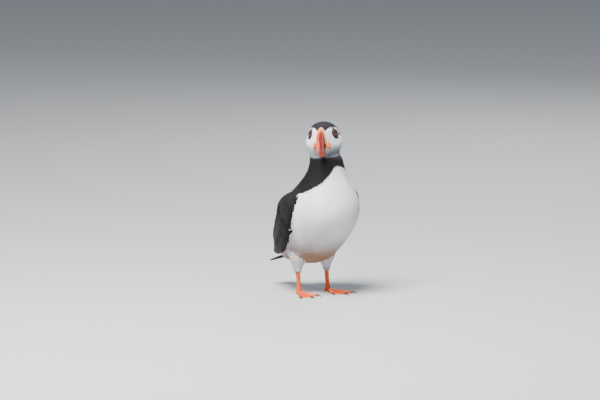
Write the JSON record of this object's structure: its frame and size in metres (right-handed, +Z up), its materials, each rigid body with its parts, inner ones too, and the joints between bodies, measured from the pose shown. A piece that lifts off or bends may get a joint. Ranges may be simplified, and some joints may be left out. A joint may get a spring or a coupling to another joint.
{
  "type": "atlantic puffin",
  "caption": "Life-size Atlantic puffin standing upright on webbed feet, wings folded, head turned to its right, with a deep banded bill, for display or scene dressing.",
  "frame": {"origin": "under the middle of the bird's bounding box, on the ground it stands on", "axes": "+Z up, -Y the way the breast faces, +X the bird's left"},
  "size_m": [0.1002, 0.1462, 0.2063],
  "materials": {
    "black_feathers": "soft dry feathers",
    "white_feathers": "soft dry feathers",
    "face_feathers": "short velvety feathers",
    "eye": "wet and clear",
    "eye_ring": "bare red skin",
    "horny_plate": "dry horn",
    "bill_horn": "polished horn",
    "bill_rim": "pitted pale horn",
    "mouth_rosette": "wrinkled fleshy skin",
    "foot_skin": "scaly bare skin",
    "claw": "dark horn"
  },
  "bodies": {
    "root": {"head": "face_feathers", "neck": "black_feathers", "trunk": "white_feathers", "tail_coverts": "black_feathers", "tail": "black_feathers", "bill_upper": "bill_horn", "bill_lower": "bill_horn", "bill_rim_upper": "bill_rim", "bill_rim_lower": "bill_rim", "wing_left": "black_feathers", "leg_left": "white_feathers", "tarsus_left": "foot_skin", "foot_left": "foot_skin", "eye_left": "eye", "eye_ring_left": "eye_ring", "eye_plate_upper_left": "horny_plate", "eye_plate_lower_left": "horny_plate", "mouth_rosette_left": "mouth_rosette", "claw_inner_left": "claw", "claw_middle_left": "claw", "claw_outer_left": "claw", "wing_right": "black_feathers", "leg_right": "white_feathers", "tarsus_right": "foot_skin", "foot_right": "foot_skin", "eye_right": "eye", "eye_ring_right": "eye_ring", "eye_plate_upper_right": "horny_plate", "eye_plate_lower_right": "horny_plate", "mouth_rosette_right": "mouth_rosette", "claw_inner_right": "claw", "claw_middle_right": "claw", "claw_outer_right": "claw"}
  },
  "joints": []
}
